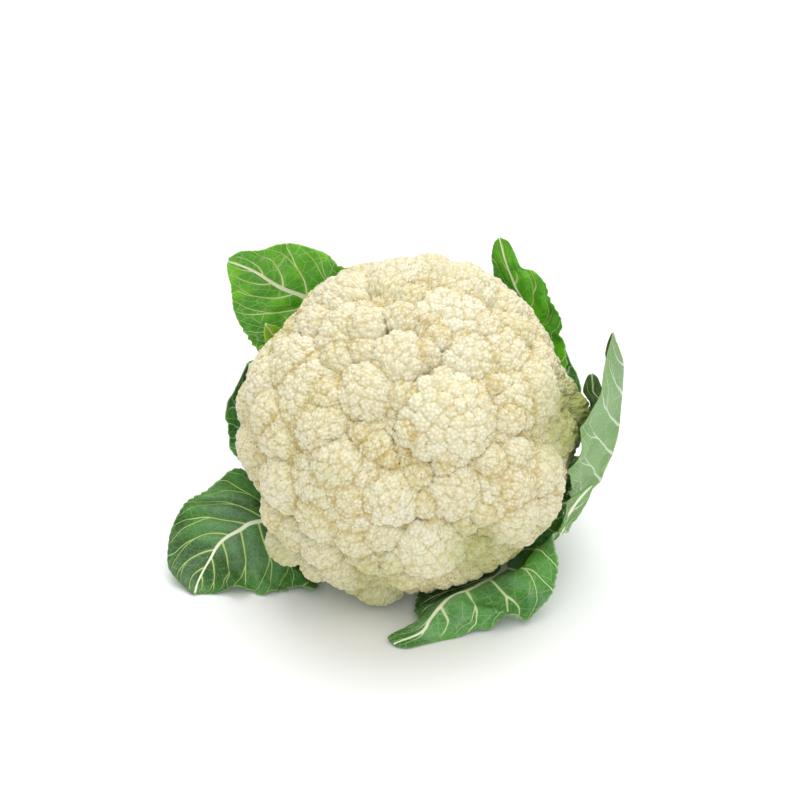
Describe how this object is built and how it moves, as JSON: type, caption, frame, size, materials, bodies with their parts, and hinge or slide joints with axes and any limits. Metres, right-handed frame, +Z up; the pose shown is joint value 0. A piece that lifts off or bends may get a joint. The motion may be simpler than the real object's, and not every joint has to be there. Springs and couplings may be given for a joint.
{
  "type": "cauliflower",
  "caption": "Fresh cauliflower with a domed white curd of rounded florets, a short cut stem and green wrapper leaves, lying on a flat surface.",
  "frame": {"origin": "middle of the footprint, on the surface that the cauliflower lies on", "axes": "+Z up from the surface; -Y towards the side that shows the domed top of the curd, +X to the right of it"},
  "size_m": [0.2196, 0.1864, 0.1596],
  "materials": {
    "curd": "fine grainy matt, cream white",
    "stem": "pale green, fibrous, matt cut end",
    "leaf_bright": "satin bright green with pale veins",
    "leaf_young": "satin yellow green",
    "leaf_dark": "waxy dark green with pale veins",
    "leaf_underside": "waxy pale grey green with raised veins"
  },
  "bodies": {
    "root": {"curd": "curd", "stem": "stem", "leaf_upper_left": "leaf_bright", "leaflet_upper_left": "leaf_young", "leaf_upper_right": "leaf_bright", "leaf_right": "leaf_underside", "leaf_right_small": "leaf_dark", "leaf_right_low": "leaf_underside", "leaf_lower_right": "leaf_dark", "leaf_lower_left": "leaf_dark", "leaf_back": "leaf_underside", "leaf_back_left": "leaf_underside", "leaf_back_right": "leaf_underside"}
  },
  "joints": []
}
